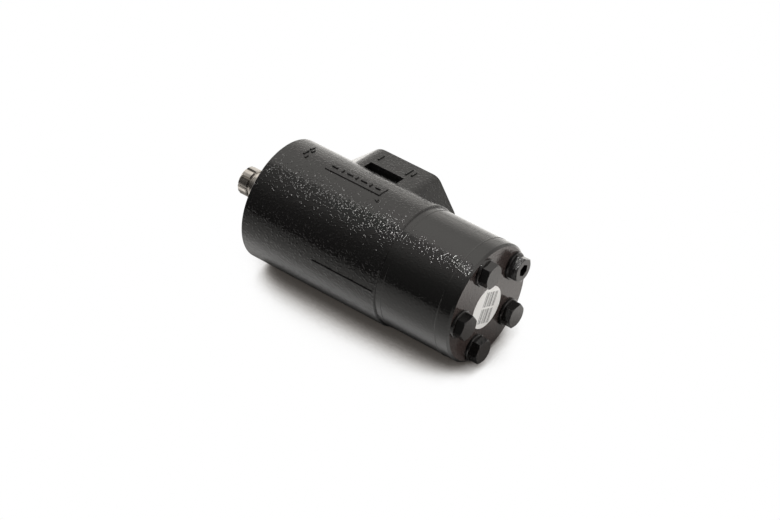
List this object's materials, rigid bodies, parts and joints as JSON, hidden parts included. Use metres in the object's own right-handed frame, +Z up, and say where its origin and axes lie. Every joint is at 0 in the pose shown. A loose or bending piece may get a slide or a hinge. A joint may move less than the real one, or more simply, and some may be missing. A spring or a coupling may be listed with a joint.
{
  "type": "orbital steering unit",
  "caption": "Hydrostatic steering control with a splined input shaft, side port block, spool valve and orbiting gear set under a screwed cap.",
  "frame": {"origin": "centre of the front mounting face, on the shaft axis", "axes": "+X along the shaft axis towards the end cap, +Z up as it lies on a flat surface"},
  "size_m": [0.219, 0.1037, 0.0906],
  "materials": {
    "cast_paint": "gloss black paint over a cast skin",
    "smooth_paint": "gloss black paint over machined steel",
    "screw_paint": "satin black",
    "shaft_steel": "machined",
    "ground_steel": "ground",
    "spring_steel": "blued spring steel",
    "seal_rubber": "matt"
  },
  "bodies": {
    "casing": {"housing": "cast_paint", "spacer_plate": "smooth_paint", "gear_ring": "smooth_paint", "end_cap": "smooth_paint", "cap_bolts": "screw_paint", "special_bolt": "screw_paint", "cap_washers": "screw_paint", "housing_seal": "seal_rubber", "plate_seal": "seal_rubber", "cap_seal": "seal_rubber", "check_seat": "ground_steel", "ball_stop": "ground_steel", "front_race": "ground_steel", "gland_bushing": "ground_steel", "dust_seal": "seal_rubber", "shaft_seal": "seal_rubber", "gland_seal": "seal_rubber", "retaining_ring": "spring_steel"},
    "sleeve_set": {"sleeve": "ground_steel", "cross_pin": "ground_steel", "flat_springs": "spring_steel", "arched_springs": "spring_steel", "spring_ring": "spring_steel", "rear_race": "ground_steel"},
    "spool_shaft": {"spool": "shaft_steel"},
    "orbit": {"drive_spacer": "ground_steel"},
    "rotor": {"rotor": "ground_steel"},
    "drive_shaft": {"drive_shaft": "ground_steel"},
    "bearing_cage": {"needle_cage": "spring_steel", "thrust_needles": "ground_steel"},
    "check_ball": {"check_ball": "ground_steel"}
  },
  "joints": [
    {"name": "steering_turn", "type": "hinge", "parent": "casing", "child": "sleeve_set", "pos_m": [0, 0, 0], "axis": [1, 0, 0], "continuous": true},
    {"name": "spool_swing", "type": "hinge", "parent": "sleeve_set", "child": "spool_shaft", "pos_m": [0, 0, 0], "axis": [1, 0, 0], "range_deg": [-8, 8], "stiffness_Nm_per_rad": 15, "deforming": ["flat_springs", "arched_springs"]},
    {"name": "orbit_turn", "type": "hinge", "parent": "casing", "child": "orbit", "pos_m": [0, 0, 0], "axis": [1, 0, 0], "continuous": true},
    {"name": "rotor_spin", "type": "hinge", "parent": "orbit", "child": "rotor", "pos_m": [0, -0.00316, 0.00051], "axis": [1, 0, 0], "continuous": true},
    {"name": "drive_spin", "type": "hinge", "parent": "orbit", "child": "drive_shaft", "pos_m": [0.0505, 0, 0], "axis": [0.9991, -0.0407, 0.0066], "continuous": true},
    {"name": "cage_turn", "type": "hinge", "parent": "casing", "child": "bearing_cage", "pos_m": [0, 0, 0], "axis": [1, 0, 0], "continuous": true},
    {"name": "check_lift", "type": "slide", "parent": "casing", "child": "check_ball", "axis": [1, 0, 0], "range_m": [0, 0.002]}
  ],
  "couplings": [
    {"joint": "orbit_turn", "follows": "steering_turn", "ratio": -4},
    {"joint": "rotor_spin", "follows": "steering_turn", "ratio": 5},
    {"joint": "drive_spin", "follows": "steering_turn", "ratio": 5},
    {"joint": "cage_turn", "follows": "steering_turn", "ratio": 0.5}
  ]
}
